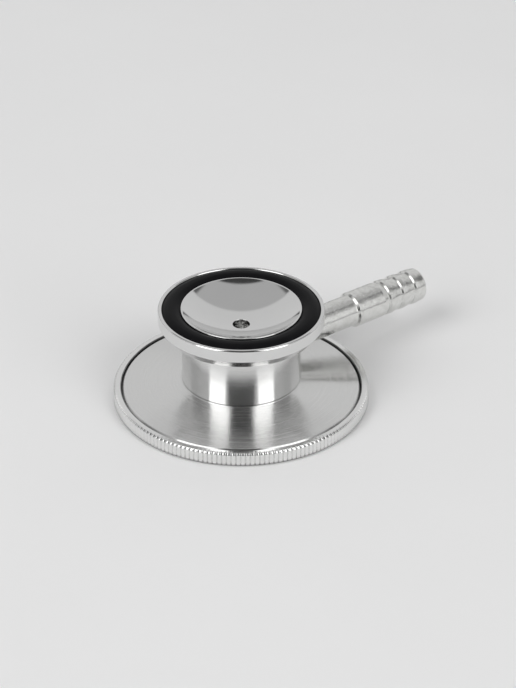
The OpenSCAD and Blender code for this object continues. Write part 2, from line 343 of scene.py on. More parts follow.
class NodeSheet:
    """A node tree, with short calls for the nodes that the finishes and the room use."""

    def __init__(self, tree: bpy.types.NodeTree) -> None:
        """Takes a tree and empties it."""
        self.tree = tree
        tree.nodes.clear()

    def add(self, kind: str, settings: dict | None = None, **inputs: object) -> bpy.types.Node:
        """Adds a node.

        Args:
            kind: The node's type.
            settings: Its attributes.
            **inputs: Its inputs by name, with spaces as underscores, each a value or a socket.

        Returns:
            The node.
        """
        node = self.tree.nodes.new(kind)
        for key, value in (settings or {}).items():
            setattr(node, key, value)
        for key, value in inputs.items():
            self.feed(node.inputs[key.replace("_", " ")], value)
        return node

    def feed(self, into: Socket, value: object) -> None:
        """Links a socket into an input, or sets the input's own value.

        Args:
            into: The input.
            value: A socket, a number, or a row of numbers.
        """
        if isinstance(value, bpy.types.NodeSocket):
            self.tree.links.new(value, into)
        else:
            into.default_value = value

    def math(self, operation: str, *values: object) -> Socket:
        """Adds nodes for one kind of arithmetic on two or more values, from the left.

        Args:
            operation: Blender's name for it.
            *values: Numbers and sockets. One that is on its own takes 0.0 after it.

        Returns:
            The result's socket.
        """
        total, *others = values
        for value in others:
            node = self.add("ShaderNodeMath", {"operation": operation})
            self.feed(node.inputs[0], total)
            self.feed(node.inputs[1], value)
            total = node.outputs[0]
        return total

    def plus(self, *values: object) -> Socket:
        """Adds the values up."""
        return self.math("ADD", *values)

    def minus(self, *values: object) -> Socket:
        """Takes the other values from the first."""
        return self.math("SUBTRACT", *values)

    def times(self, *values: object) -> Socket:
        """Multiplies the values."""
        return self.math("MULTIPLY", *values)

    def parts(self, vector: Socket) -> tuple[Socket, Socket, Socket]:
        """Splits a vector into its three numbers."""
        return tuple(self.add("ShaderNodeSeparateXYZ", Vector=vector).outputs)

    def vector(self, operation: str, first: object, second: object = None) -> bpy.types.Node:
        """Adds a node for one piece of vector arithmetic.

        Args:
            operation: Blender's name for it.
            first: The first vector.
            second: The second vector, or the scale, where there is one.

        Returns:
            The node.
        """
        node = self.add("ShaderNodeVectorMath", {"operation": operation})
        self.feed(node.inputs[0], first)
        if second is not None:
            self.feed(node.inputs["Scale" if operation == "SCALE" else 1], second)
        return node

    def place(self) -> Socket:
        """Gives the place on the piece, in millimetres, which moves with the piece."""
        return self.vector("SCALE", self.add("ShaderNodeTexCoord").outputs["Object"], 1 / MM).outputs[0]

    def noise(self, place: Socket, scale: float, detail: float = 3.0, rough: float = 0.5) -> Socket:
        """Gives soft noise from 0 to 1.

        Args:
            place: The place to read it at.
            scale: How many blots there are to a millimetre.
            detail: How many finer layers it has.
            rough: How strong they are.

        Returns:
            The noise.
        """
        node = self.add("ShaderNodeTexNoise", Vector=place, Scale=scale, Detail=detail, Roughness=rough)
        return node.outputs["Fac"]

    def spread(
        self, value: Socket, low: float, high: float, start: float = 0.0, end: float = 1.0,
        blend: Blend = Blend.STRAIGHT,
    ) -> Socket:
        """Maps a value from one range to another, without going past its ends.

        Args:
            value: The value.
            low: What the start becomes.
            high: What the end becomes.
            start: Where the value's range starts.
            end: Where it ends.
            blend: How it eases between them.

        Returns:
            The mapped value.
        """
        node = self.add("ShaderNodeMapRange", {"interpolation_type": blend.value, "clamp": True})
        for key, number in (("Value", value), ("From Min", start), ("From Max", end),
                            ("To Min", low), ("To Max", high)):
            self.feed(node.inputs[key], number)
        return node.outputs["Result"]

    def mix(self, share: Socket, first: Color | Socket, second: Color | Socket) -> Socket:
        """Mixes two colours.

        Args:
            share: How much of the second there is.
            first: The first colour.
            second: The second colour.

        Returns:
            The colour.
        """
        node = self.add("ShaderNodeMix", {"data_type": "RGBA"}, Factor=share)
        for into, color in ((6, first), (7, second)):
            self.feed(node.inputs[into], (*color, 1.0) if isinstance(color, tuple) else color)
        return node.outputs[2]

    def painted_shade_share(self, seam: Seam) -> Socket:
        """Finds how much painted shade lies at a point beside a seam or along a foot.

        Args:
            seam: Where the painted shade lies.

        Returns:
            The share, from 0 to 1 in the seam.
        """
        if seam.measure is Measure.HEIGHT:
            place = self.parts(self.place())[2]
        else:
            place = self.across()
        return self.spread(place, 0.0, 1.0, seam.clean, seam.full)

    def across(self) -> Socket:
        """Gives the distance from the head's axis, in millimetres."""
        flat = self.vector("MULTIPLY", self.place(), (1.0, 1.0, 0.0)).outputs[0]
        return self.vector("LENGTH", flat).outputs["Value"]

    def relief(self, height: Socket, depth: float, below: Socket | None = None) -> Socket:
        """Turns a height from 0 to 1 into small relief.

        Args:
            height: The height.
            depth: The relief's depth in millimetres.
            below: Relief that this one lies on.

        Returns:
            The bent normal.
        """
        node = self.add("ShaderNodeBump", Height=height, Distance=depth * MM, Strength=1.0)
        if below is not None:
            self.feed(node.inputs["Normal"], below)
        return node.outputs["Normal"]

    def turned_lines(self, axis: Axis, fine: float, sway: float) -> Socket:
        """Gives the fine lines that a tool leaves round a turned piece.

        Args:
            axis: The axis that the piece was turned about.
            fine: How many lines there are to a millimetre, roughly.
            sway: How much a line changes on its way round.

        Returns:
            The lines' height from 0 to 1.
        """
        x, y, z = self.parts(self.place())
        if axis is Axis.STEM:
            x, y, z = y, z, x
        square = self.plus(self.times(x, x), self.times(y, y))
        across = self.math("POWER", square, 0.5)
        reach = self.math("DIVIDE", sway, self.math("MAXIMUM", across, 0.01))
        round_x, round_y = (self.times(part, reach) for part in (x, y))
        depth = self.times(self.plus(across, z), fine)
        place = self.add("ShaderNodeCombineXYZ", X=depth, Y=round_x, Z=round_y).outputs[0]
        return self.noise(place, 1.0, 4.0, 0.6)


class Paint(NodeSheet):
    """A material's nodes, which end in one surface shader."""

    def __init__(self, name: str) -> None:
        """Starts a material.

        Args:
            name: Its name.
        """
        self.material = bpy.data.materials.new(name)
        self.material.use_nodes = True
        super().__init__(self.material.node_tree)
        self.surface = self.add("ShaderNodeBsdfPrincipled")
        self.output = self.add("ShaderNodeOutputMaterial", Surface=self.surface.outputs["BSDF"])

    def coat(self, **inputs: object) -> Material:
        """Sets the surface's inputs.

        Args:
            **inputs: As in add().

        Returns:
            The finished material.
        """
        for key, value in inputs.items():
            self.feed(self.surface.inputs[key.replace("_", " ")], value)
        return self.material


@dataclass(frozen=True)
class MirrorPolish:
    """Buffed aluminium: nearly a mirror, with a trace of haze and faint wandering scratches."""

    name: str = "mirror_polished_aluminium"
    bright: Color = (0.77, 0.77, 0.765)
    hazy: Color = (0.73, 0.73, 0.73)
    clear: float = 0.05
    haze: float = 0.11
    scratched: float = 0.05

    def material(self) -> Material:
        """Builds the material.

        Returns:
            The material.
        """
        sheet = Paint(self.name)
        place = sheet.place()
        cloud = sheet.noise(place, 0.22)
        lines = sheet.turned_lines(Axis.HEAD, 9.0, 1.5)
        scratch = sheet.spread(sheet.noise(place, 6.0, 6.0, 0.75), 0.0, self.scratched, 0.62, 0.72)
        worn = sheet.plus(cloud, sheet.times(lines, 0.5))
        haze = sheet.spread(worn, self.clear, self.haze, 0.4, 1.1)
        buffed = sheet.relief(sheet.noise(place, 0.5, 1.0), 0.0012)
        return sheet.coat(
            Metallic=1.0, Base_Color=sheet.mix(cloud, self.bright, self.hazy),
            Roughness=sheet.plus(haze, scratch), Normal=sheet.relief(lines, 0.0001, buffed))


@dataclass(frozen=True)
class FineTurned:
    """Fine-turned aluminium: reflections drawn out across the turning lines, and painted shade beside a
    seam where one is given.
    """

    name: str = "fine_turned_aluminium"
    axis: Axis = Axis.HEAD
    light: Color = (0.79, 0.79, 0.785)
    dull: Color = (0.75, 0.75, 0.745)
    # The colour of the painted shade where the piece meets another, not dirt.
    painted_shade: Color = (0.2, 0.2, 0.2)
    seam: Seam | None = None
    lines_per_mm: float = 40.0
    smooth: float = 0.11
    rough: float = 0.13
    tail: float = 0.05
    drawn_out: float = 1.0

    def material(self) -> Material:
        """Builds the material.

        Returns:
            The material.
        """
        sheet = Paint(self.name)
        lines = sheet.turned_lines(self.axis, self.lines_per_mm, 0.7)
        cloud = sheet.noise(sheet.place(), 0.3)
        color = sheet.mix(lines, self.light, self.dull)
        # Painted shade: darker towards the seam, where the pieces meet.
        if self.seam:
            color = sheet.mix(sheet.painted_shade_share(self.seam), color, self.painted_shade)
        worn = sheet.plus(sheet.times(lines, 0.6), sheet.times(cloud, 0.4))
        worn = sheet.spread(worn, self.smooth, self.rough, 0.3, 0.7)
        torn = sheet.spread(lines, 0.0, self.tail, 0.46, 0.68)
        tangent = sheet.add("ShaderNodeTangent", {"direction_type": "RADIAL", "axis": "Z"})
        return sheet.coat(
            Metallic=1.0, Anisotropic=self.drawn_out, Anisotropic_Rotation=0.25,
            Tangent=tangent.outputs[0], Base_Color=color, Roughness=sheet.plus(worn, torn),
            Normal=sheet.relief(lines, 0.00006))


@dataclass(frozen=True)
class KnurledBright:
    """Bright aluminium as a knurling wheel leaves it, with painted shade in the valleys, beside the seam
    and along the foot.
    """

    name: str = "knurled_bright_aluminium"
    crest: Color = (0.84, 0.84, 0.835)
    # The valleys' colour is painted shade, not a duller finish.
    valley: Color = (0.06, 0.06, 0.06)
    crest_radius: float = 23.5
    top_cone: float = 25.78
    foot_cone: float = 23.26
    land_height: float = 2.6
    sunk: float = 0.09
    notch_low: float = 2.12
    notch_high: float = 2.24
    wall_share: float = 0.04
    seam_low: float = 1.6
    wall_radius: float = 23.2
    foot_shade_share: float = 0.9
    # Where the painted shade beside the seam lies.
    seam: Seam = Seam(Measure.RADIUS, 22.2, 22.06)
    # Where the painted contact shadow round the foot lies.
    foot: Seam = Seam(Measure.HEIGHT, 0.36, 0.16)

    def material(self) -> Material:
        """Builds the material.

        Returns:
            The material.
        """
        sheet = Paint(self.name)
        place = sheet.place()
        across = sheet.across()
        height = sheet.parts(place)[2]
        depth = sheet.math(
            "MINIMUM", sheet.minus(self.crest_radius, across), sheet.minus(self.land_height, height),
            sheet.minus(self.top_cone, across, height),
            sheet.plus(sheet.minus(self.foot_cone, across), height))
        # Painted shade: dark in the knurls' valleys, fullest at their upper ends under the top chamfer,
        # faint down the wall.
        valley = sheet.times(
            sheet.spread(depth, 0.0, 1.0, self.sunk / 3, self.sunk),
            sheet.spread(height, self.wall_share, 1.0, self.notch_low, self.notch_high),
            sheet.spread(sheet.noise(place, 1.5, 4.0), 0.7, 1.0, 0.3, 0.7))
        # Painted shade on the ring's inner edge, in the seam with the plate.
        seam = sheet.times(
            sheet.painted_shade_share(self.seam),
            sheet.spread(height, 0.0, 1.0, self.seam_low, self.seam_low + 0.2))
        # Painted contact shadow: a dark line round the wall's foot, where the floor's shade would be
        # mirrored.
        foot = sheet.times(
            sheet.painted_shade_share(self.foot), sheet.spread(height, 0.0, self.foot_shade_share, 0.01, 0.05),
            sheet.spread(across, 0.0, 1.0, self.wall_radius, self.wall_radius + 0.05))
        # All the painted shade together; it also makes the surface rougher.
        painted_shade = sheet.math("MAXIMUM", valley, seam, foot)
        pits = sheet.noise(place, 14.0)
        return sheet.coat(
            Metallic=1.0, Base_Color=sheet.mix(painted_shade, self.crest, self.valley),
            Roughness=sheet.plus(sheet.spread(pits, 0.12, 0.22), sheet.times(painted_shade, 0.12)),
            Normal=sheet.relief(pits, 0.002))


@dataclass(frozen=True)
class TumbledMetal:
    """Rough-turned and tumbled aluminium, with small dents, pits and a warm cast."""

    name: str = "tumbled_stem_metal"
    light: Color = (0.8, 0.8, 0.785)
    dull: Color = (0.68, 0.68, 0.66)

    def material(self) -> Material:
        """Builds the material.

        Returns:
            The material.
        """
        sheet = Paint(self.name)
        place = sheet.place()
        blots = sheet.noise(place, 0.9, 5.0, 0.62)
        grain = sheet.noise(place, 5.0, 5.0, 0.65)
        cells = sheet.add("ShaderNodeTexVoronoi", {"feature": "SMOOTH_F1"}, Vector=place, Scale=1.1)
        dents = sheet.spread(cells.outputs["Distance"], 0.0, 1.0, 0.1, 0.7, Blend.EASED)
        lines = sheet.relief(sheet.turned_lines(Axis.STEM, 5.0, 0.8), 0.0008)
        dented = sheet.relief(dents, 0.013, lines)
        tarnish = sheet.spread(blots, 0.0, 1.0, 0.42, 0.7)
        return sheet.coat(
            Metallic=1.0, Base_Color=sheet.mix(tarnish, self.light, self.dull),
            Roughness=sheet.spread(grain, 0.15, 0.3, 0.35, 0.7),
            Normal=sheet.relief(grain, 0.005, dented))


@dataclass(frozen=True)
class SatinRubber:
    """Black moulded rubber with a satin skin."""

    name: str
    dark: Color = (0.003, 0.003, 0.0035)
    worn: Color = (0.007, 0.007, 0.008)
    shine: float = 0.07
    satin: float = 0.3
    matt: float = 0.42

    def material(self) -> Material:
        """Builds the material.

        Returns:
            The material.
        """
        sheet = Paint(self.name)
        place = sheet.place()
        cloud = sheet.noise(place, 0.6, 4.0)
        skin = sheet.noise(place, 11.0, 4.0, 0.6)
        wear = sheet.plus(cloud, skin)
        return sheet.coat(
            Specular_IOR_Level=self.shine, Base_Color=sheet.mix(cloud, self.dark, self.worn),
            Roughness=sheet.spread(wear, self.satin, self.matt, 0.7, 1.3),
            Normal=sheet.relief(skin, 0.006))


@dataclass(frozen=True)
class GlassFibreSheet:
    """The diaphragm's stiff resin sheet, with the weave just showing under its gloss."""

    name: str = "glass_fibre_sheet"
    resin: Color = (0.80, 0.78, 0.70)
    thread: Color = (0.88, 0.87, 0.82)
    thread_width: float = 0.55

    def material(self) -> Material:
        """Builds the material.

        Returns:
            The material.
        """
        sheet = Paint(self.name)
        place = sheet.place()
        x, y, _ = sheet.parts(place)
        turns = math.tau / self.thread_width
        warp, weft = (sheet.math("SINE", sheet.times(part, turns), 0.0) for part in (x, y))
        weave = sheet.spread(sheet.times(warp, weft), 0.0, 1.0, -1.0, 1.0, Blend.EASED)
        cloud = sheet.noise(place, 0.4)
        shade = sheet.plus(sheet.times(weave, 0.6), sheet.times(cloud, 0.4))
        return sheet.coat(
            Base_Color=sheet.mix(shade, self.resin, self.thread),
            Roughness=sheet.spread(cloud, 0.22, 0.34), Normal=sheet.relief(weave, 0.004))


@dataclass(frozen=True)
class BrightSteel:
    """Small steel parts: bright, with a drawn grain."""

    name: str = "bright_steel"
    light: Color = (0.68, 0.69, 0.70)
    dull: Color = (0.5, 0.51, 0.52)

    def material(self) -> Material:
        """Builds the material.

        Returns:
            The material.
        """
        sheet = Paint(self.name)
        grain = sheet.noise(sheet.place(), 8.0, 4.0)
        return sheet.coat(
            Metallic=1.0, Base_Color=sheet.mix(grain, self.light, self.dull),
            Roughness=sheet.spread(grain, 0.18, 0.34), Normal=sheet.relief(grain, 0.001))


@dataclass
class Bell:
    """The polished bell: bevel, rim, lip, ring groove and bowl."""

    bevel_width: float = 1.4
    bevel_height: float = 1.75
    lip_rounding: float = 0.36
    groove_rounding: float = 0.34
    groove_inner: float = 10.98
    groove_width: float = 3.32
    groove_depth: float = 1.4
    bowl_radius: float = 10.68
    bowl_depth: float = 3.55
    spigot_radius: float = 7.0
    air_radius: float = 1.55
    hub_top: float = 14.55

    def build(self) -> None:
        """Builds the bell and dresses it."""
        low, high = box_of("bell_cup")
        radius, top = high.x, high.z
        outer = self.groove_inner + self.groove_width
        seat = top - self.groove_depth
        sphere = (self.bowl_radius**2 + self.bowl_depth**2) / (2 * self.bowl_depth)
        centre = (0.0, top - self.bowl_depth + sphere)
        rim = math.asin(self.bowl_radius / sphere)
        hole = math.asin(self.air_radius / sphere)
        bowl = arc(centre, sphere, rim - math.pi / 2, hole - math.pi / 2, 72)[1:-1]
        section = rounded([
            Corner(self.air_radius, low.z),
            Corner(self.spigot_radius, low.z, 0.15),
            Corner(self.spigot_radius, self.hub_top, 0.1),
            Corner(radius - self.bevel_width, self.hub_top, 0.06),
            Corner(radius, self.hub_top + self.bevel_height, 0.08),
            Corner(radius, top, self.lip_rounding),
            Corner(outer, top, self.groove_rounding),
            Corner(outer, seat, 0.1),
            Corner(self.groove_inner, seat, 0.1),
            Corner(self.groove_inner, top, 0.16),
            Corner(self.bowl_radius, top, 0.1),
            *bowl,
            Corner(self.air_radius, centre[1] - sphere * math.cos(hole), 0.08),
        ])
        piece = Turning("polished_bell", lambda turn: section).piece()
        finish_piece(piece, "head", "polished_aluminium", MirrorPolish().material(), "bell_cup")


@dataclass
class SoftRing:
    """The black non-chill ring in the bell's groove, with a rounded top."""

    crown_radius: float = 2.5
    crown_flat: float = 0.35
    clearance: float = 0.02

    def build(self) -> None:
        """Builds the ring and dresses it."""
        low, high = box_of("non_chill_ring")
        outer = high.x
        inner = outer - Bell.groove_width + 2 * self.clearance
        middle = (outer + inner) / 2
        centre = (middle, high.z - math.sqrt(self.crown_radius**2 - self.crown_flat**2))
        half = math.asin((outer - middle) / self.crown_radius)
        flat = math.asin(self.crown_flat / self.crown_radius)
        up = math.pi / 2
        shoulder = centre[1] + self.crown_radius * math.cos(half)
        section = rounded([
            Corner(inner, low.z, 0.1),
            Corner(outer, low.z, 0.1),
            Corner(outer, shoulder, 0.16),
            *arc(centre, self.crown_radius, up - half, up - flat, 12)[1:],
            *arc(centre, self.crown_radius, up + flat, up + half, 12)[:-1],
            Corner(inner, shoulder, 0.16),
        ])
        piece = Turning("soft_ring", lambda turn: section).piece()
        finish_piece(piece, "head", "black_rubber", SatinRubber("satin_black_rubber").material(),
                     "non_chill_ring")


@dataclass
class Hub:
    """The turned drum that holds the valve, with its bores."""

    spigot_radius: float = 8.0
    thread_radius: float = 7.05
    thread_floor: float = 12.65
    air_radius: float = 1.55
    edge_break: float = 0.2
    stem_bore_radius: float = 3.03
    stem_bore_end: float = -8.0
    plate_top: float = 4.35
    screw_radius: float = 1.3
    ball_hole_radius: float = 0.93
    point_hole_radius: float = 0.83
    screw_x: float = 5.2
    ball_screw_top: float = 3.25
    lock_screw_top: float = 4.6

    def build(self, stem_height: float) -> None:
        """Builds the hub, bores it and dresses it.

        Args:
            stem_height: The height of the stem's axis.
        """
        low, high = box_of("hub")
        radius = high.x
        section = rounded([
            Corner(self.air_radius, low.z),
            Corner(self.spigot_radius, low.z, 0.1),
            Corner(self.spigot_radius, self.plate_top, 0.03),
            Corner(radius - self.edge_break, self.plate_top, 0.02),
            Corner(radius, self.plate_top + self.edge_break, 0.03),
            Corner(radius, high.z, 0.05),
            Corner(self.thread_radius, high.z),
            Corner(self.thread_radius, self.thread_floor),
            Corner(self.air_radius, self.thread_floor),
        ])
        piece = Turning("turned_hub", lambda turn: section, 192).piece()
        bores = (
            ("ball_hole", self.ball_hole_radius, -self.screw_x, stem_height),
            ("ball_screw_hole", self.screw_radius, -self.screw_x, self.ball_screw_top),
            ("point_hole", self.point_hole_radius, self.screw_x, stem_height),
            ("lock_screw_hole", self.screw_radius, self.screw_x, self.lock_screw_top),
        )
        cutters = [drill("stem_bore", self.stem_bore_radius, Vector((self.stem_bore_end, 0, stem_height)),
                         Vector((radius + 1, 0, stem_height)))]
        cutters += [drill(name, size, Vector((x, 0, low.z - 1.0)), Vector((x, 0, top)))
                    for name, size, x, top in bores]
        cut_away(piece, cutters)
        # Painted shade in the corner where the hub's foot meets the plate.
        foot = Seam(Measure.HEIGHT, self.plate_top + 0.07, self.plate_top)
        finish = FineTurned("fine_turned_hub", painted_shade=(0.3, 0.3, 0.3), seam=foot)
        finish_piece(piece, "head", "turned_aluminium", finish.material(), "hub")


@dataclass
class DiaphragmSide:
    """The plate, the knurled ring that screws on it, and the sheet and gasket between them."""

    spigot_bore: float = 8.05
    land_inner: float = 20.7
    chamber_edge: float = 1.25
    rim_chamfer: float = 0.4
    rim_top: float = 2.45
    hub_radius: float = 10.87
    seat_reach: float = 0.2
    seat_drop: float = 0.09
    knurls: int = 174
    knurl_steps: tuple[float, ...] = (-0.35, -0.3, -0.25, 0.25, 0.3, 0.35, 0.42, 0.48, 0.52, 0.58)
    knurl_depth: float = 0.2
    crest_wear: float = 0.018
    worn_share: float = 0.1
    foot_past: float = 0.04
    seam_width: float = 0.26
    seam_depth: float = 0.2
    end_reach: float = 0.28
    end_rounding: float = 0.3
    ring_bore: float = 22.05
    foot_inner: float = 20.6
    foot_thickness: float = 0.5
    crest_share: float = 0.6
    valley_share: float = 0.04

    def plate(self) -> None:
        """Builds the shallow conical plate and dresses it."""
        low, high = box_of("diaphragm_plate")
        ceiling = box_of("hub")[0].z
        section = rounded([
            Corner(self.spigot_bore, ceiling),
            Corner(self.land_inner, self.chamber_edge),
            Corner(self.land_inner, low.z),
            Corner(high.x, low.z),
            Corner(high.x, self.rim_top - self.rim_chamfer, 0.06),
            Corner(high.x - self.rim_chamfer, self.rim_top, 0.06),
            Corner(self.hub_radius + self.seat_reach, high.z - self.seat_drop, 0.02),
            Corner(self.hub_radius + self.seat_reach - 0.05, high.z, 0.03),
            Corner(self.spigot_bore, high.z),
        ])
        piece = Turning("turned_plate", lambda turn: section).piece()
        # Painted shade on the plate's rim, in the seam with the knurled ring.
        seam = Seam(Measure.RADIUS, high.x - 0.12, high.x - 0.04)
        finish = FineTurned("fine_turned_plate", seam=seam, smooth=0.19, rough=0.21, tail=0.09)
        finish_piece(piece, "head", "turned_aluminium", finish.material(), "diaphragm_plate")

    def ring(self) -> None:
        """Builds the knurled ring and dresses it."""
        low, high = box_of("retaining_ring")
        crest, top = high.x, high.z
        root = crest - self.knurl_depth

        def section_at(turn: float) -> list[Point]:
            """Draws the section at an angle: flat knurls with worn edges, and V-shaped valleys.

            Args:
                turn: The angle in radians.

            Returns:
                The outline.
            """
            phase = (turn * self.knurls / math.tau) % 1.0
            off = min(phase, 1.0 - phase) * 2.0
            ramp = (off - self.crest_share) / (1.0 - self.crest_share - self.valley_share)
            wear = 1.0 - abs(off - self.crest_share) / self.worn_share
            radius = crest - max(self.knurl_depth * min(1.0, max(0.0, ramp)), self.crest_wear * wear)
            out = radius - root
            return rounded([
                Corner(root - self.foot_past, low.z, 0.03),
                Corner(radius, low.z + self.foot_past + out, 0.03),
                Corner(radius, top - self.end_reach, self.end_rounding),
                Corner(radius - self.end_reach, top, 0.1),
                Corner(self.ring_bore + self.seam_width, top, 0.06),
                Corner(self.ring_bore, top - self.seam_depth, 0.04),
                Corner(self.ring_bore, self.foot_thickness),
                Corner(self.foot_inner, self.foot_thickness, 0.1),
                Corner(self.foot_inner, low.z, 0.15),
            ])

        turns = tuple(math.tau * (knurl + step) / self.knurls
                      for knurl in range(self.knurls) for step in self.knurl_steps)
        piece = Turning("knurled_ring", section_at, turns=turns).piece()
        finish_piece(piece, "ring", "knurled_aluminium", KnurledBright().material(), "retaining_ring")

    def build(self, frame: dict) -> None:
        """Builds the plate and the ring, and dresses the sheet and the gasket.
        """
        self.plate()
        self.ring()
        dress_node(frame, "diaphragm", GlassFibreSheet().material())
        dress_node(frame, "diaphragm_gasket",
                   SatinRubber("matt_gasket_rubber", satin=0.5, matt=0.7).material())


@dataclass
class Stem:
    """The stem: spindle with its grooves and port, shank, collar and barbs."""

    shank: float = 3.0
    collar_start: float = 25.3
    collar: float = 3.4
    collar_length: float = 6.1
    collar_taper: float = 1.2
    barb: float = 3.4
    barb_step: float = 0.03
    barb_depth: float = 0.3
    barb_pitch: float = 3.15
    barb_face: float = 0.3
    barb_crest: float = 0.8
    barbs: int = 3
    tip_drop: float = 0.15
    tip_chamfer: float = 0.4
    bore: float = 1.4
    bore_past: float = 1.6
    port: float = 1.3
    ball_groove_x: float = -5.2
    ball_groove_depth: float = 0.3
    ball_groove_radius: float = 0.93
    ball_radius: float = 0.9
    dimple_depth: float = 0.25
    seal_x: float = 3.0
    seal_half: float = 0.43
    seal_depth: float = 0.83
    lock_x: float = 5.2
    lock_half: float = 0.83
    lock_depth: float = 0.7
    height: float = 9.0
    columns: int = 128
    row_length: float = 0.16
    dent_depth: float = 0.015
    dent_radius: float = 0.42
    dent_scale: float = 0.62
    wave_depth: float = 0.012
    wave_scale: float = 0.85
    dent_ease: float = 1.5
    bore_wall: float = 0.4

    def groove(self, middle: float, half: float, depth: float) -> list[Corner]:
        """Draws a square groove in the spindle.

        Args:
            middle: Its place along the stem.
            half: Half its width.
            depth: Its depth.

        Returns:
            Its corners.
        """
        floor = self.shank - depth
        return [
            Corner(self.shank, middle - half),
            Corner(floor, middle - half),
            Corner(floor, middle + half),
            Corner(self.shank, middle + half),
        ]

    def section(self) -> list[Point]:
        """Draws the section, from the spindle's end out to the tip and back up the bore.

        Returns:
            The open outline, which starts and ends on the axis.
        """
        inner_end, tip = (corner.x for corner in box_of("stem"))
        ball_centre = (self.shank - self.ball_groove_depth + self.ball_groove_radius, self.ball_groove_x)
        open_half = math.acos((ball_centre[0] - self.shank) / self.ball_groove_radius)
        collar_end = self.collar_start + (self.collar - self.shank) + self.collar_length
        barb_start = collar_end + self.collar_taper
        barbs: list[Corner] = []
        for index in range(self.barbs):
            x = barb_start + index * self.barb_pitch
            radius = self.barb - index * self.barb_step
            barbs += [
                Corner(radius - self.barb_depth, x, 0.1),
                Corner(radius, x + self.barb_face, 0.07),
                Corner(radius, x + self.barb_face + self.barb_crest, 0.2),
            ]
        corners = [
            Corner(0.0, inner_end),
            Corner(self.shank, inner_end, 0.15),
            *arc(ball_centre, self.ball_groove_radius, math.pi + open_half, math.pi - open_half, 10),
            *self.groove(-self.seal_x, self.seal_half, self.seal_depth),
            *self.groove(self.seal_x, self.seal_half, self.seal_depth),
            *self.groove(self.lock_x, self.lock_half, self.lock_depth),
            Corner(self.shank, self.collar_start, 0.12),
            Corner(self.collar, self.collar_start + self.collar - self.shank, 0.12),
            Corner(self.collar, collar_end, 0.25),
            *barbs,
            Corner(radius - self.tip_drop, tip - self.tip_chamfer, 0.25),
            Corner(radius - self.tip_drop - self.tip_chamfer, tip, 0.15),
            Corner(self.bore, tip, 0.15),
            Corner(self.bore, -self.bore_past, 0.1),
            Corner(0.0, -self.bore_past),
        ]
        return closer(rounded(corners, closed=False), self.row_length)

    def batter(self, piece: Object, clear_of: float) -> None:
        """Presses small dents and waves into the stem's outside, past the hub.

        Args:
            piece: The stem.
            clear_of: How far out along the stem it stays true.
        """
        axis = Vector((0.0, 0.0, self.height))
        for vertex in piece.data.vertices:
            place = vertex.co / MM
            out = place - axis
            out.x = 0.0
            if out.length < self.bore + self.bore_wall or place.x < clear_of:
                continue
            ease = min(1.0, (place.x - clear_of) / self.dent_ease)
            nearest = noise.voronoi(place * self.dent_scale)[0][0]
            dent = max(0.0, 1.0 - nearest / self.dent_radius) ** 2
            wave = 0.5 + 0.5 * noise.noise(place * self.wave_scale)
            depth = ease * (self.dent_depth * dent + self.wave_depth * wave)
            vertex.co -= out.normalized() * depth * MM

    def build(self) -> None:
        """Builds the stem, batters it, opens its port and dresses it."""
        section = self.section()
        piece = Turning("barbed_stem", lambda turn: section, self.columns, closed=False,
                        axis=Axis.STEM, height=self.height).piece()
        self.batter(piece, box_of("hub")[1].x + 1.0)
        middle = Vector((0.0, 0.0, self.height))
        port = drill("port", self.port, middle - Vector((0, 0, self.shank + 1)), middle)
        reach = self.shank - self.ball_groove_depth + (self.ball_groove_radius - self.ball_radius)
        out = reach + self.ball_radius - self.dimple_depth
        dimples = [self.dimple(side * out) for side in (-1, 1)]
        cut_away(piece, [port, *dimples])
        finish_piece(piece, "stem", "stem_metal", TumbledMetal().material(), "stem")

    def dimple(self, above: float) -> Object:
        """Makes the ball-shaped cutter for a click dimple.

        Args:
            above: Its centre's height over the stem's axis.

        Returns:
            The cutter.
        """
        shape = bmesh.new()
        place = Matrix.Translation(Vector((self.ball_groove_x, 0, self.height + above)) * MM)
        bmesh.ops.create_uvsphere(
            shape, u_segments=32, v_segments=20, radius=self.ball_radius * MM, matrix=place)
        return linked("dimple", shape)


@dataclass
class Valve:
    """The small parts inside the head, which are CAD nodes with a better finish."""

    seals: tuple[str, ...] = ("front_o_ring", "rear_o_ring")
    steel: tuple[str, ...] = ("detent_ball", "detent_spring", "detent_screw", "lock_screw")

    def dress(self, frame: dict) -> None:
        """Dresses the seals and the steel parts.
        """
        rubber = SatinRubber("seal_rubber").material()
        for node in self.seals:
            dress_node(frame, node, rubber)
        steel = BrightSteel().material()
        for node in self.steel:
            dress_node(frame, node, steel)


@dataclass(frozen=True)
class SoftBox:
    """A studio lamp seen from the object: angles in degrees, round from the camera and up."""

    name: str
    turn: float
    glow: float
    rise: float = 33.5
    half_width: float = 15.5
    half_height: float = 31.5
    roll: float = 0.0
    distance: float = 2.0


BOXES = (
    SoftBox("left_box", turn=-47.0, glow=1.75, roll=6.0),
    SoftBox("right_box", turn=49.0, glow=1.68, roll=-6.0),
)
CARDS = (
    SoftBox("left_wash", turn=-45.0, glow=1.55, rise=30.0, half_height=27.0),
    SoftBox("right_wash", turn=47.0, glow=1.5, rise=30.0, half_height=27.0),
    SoftBox("left_card", turn=-55.0, glow=2.7, rise=44.0, half_width=16.0, half_height=14.0),
    SoftBox("right_card", turn=55.0, glow=1.6, rise=50.0, half_width=14.0, half_height=12.0),
)


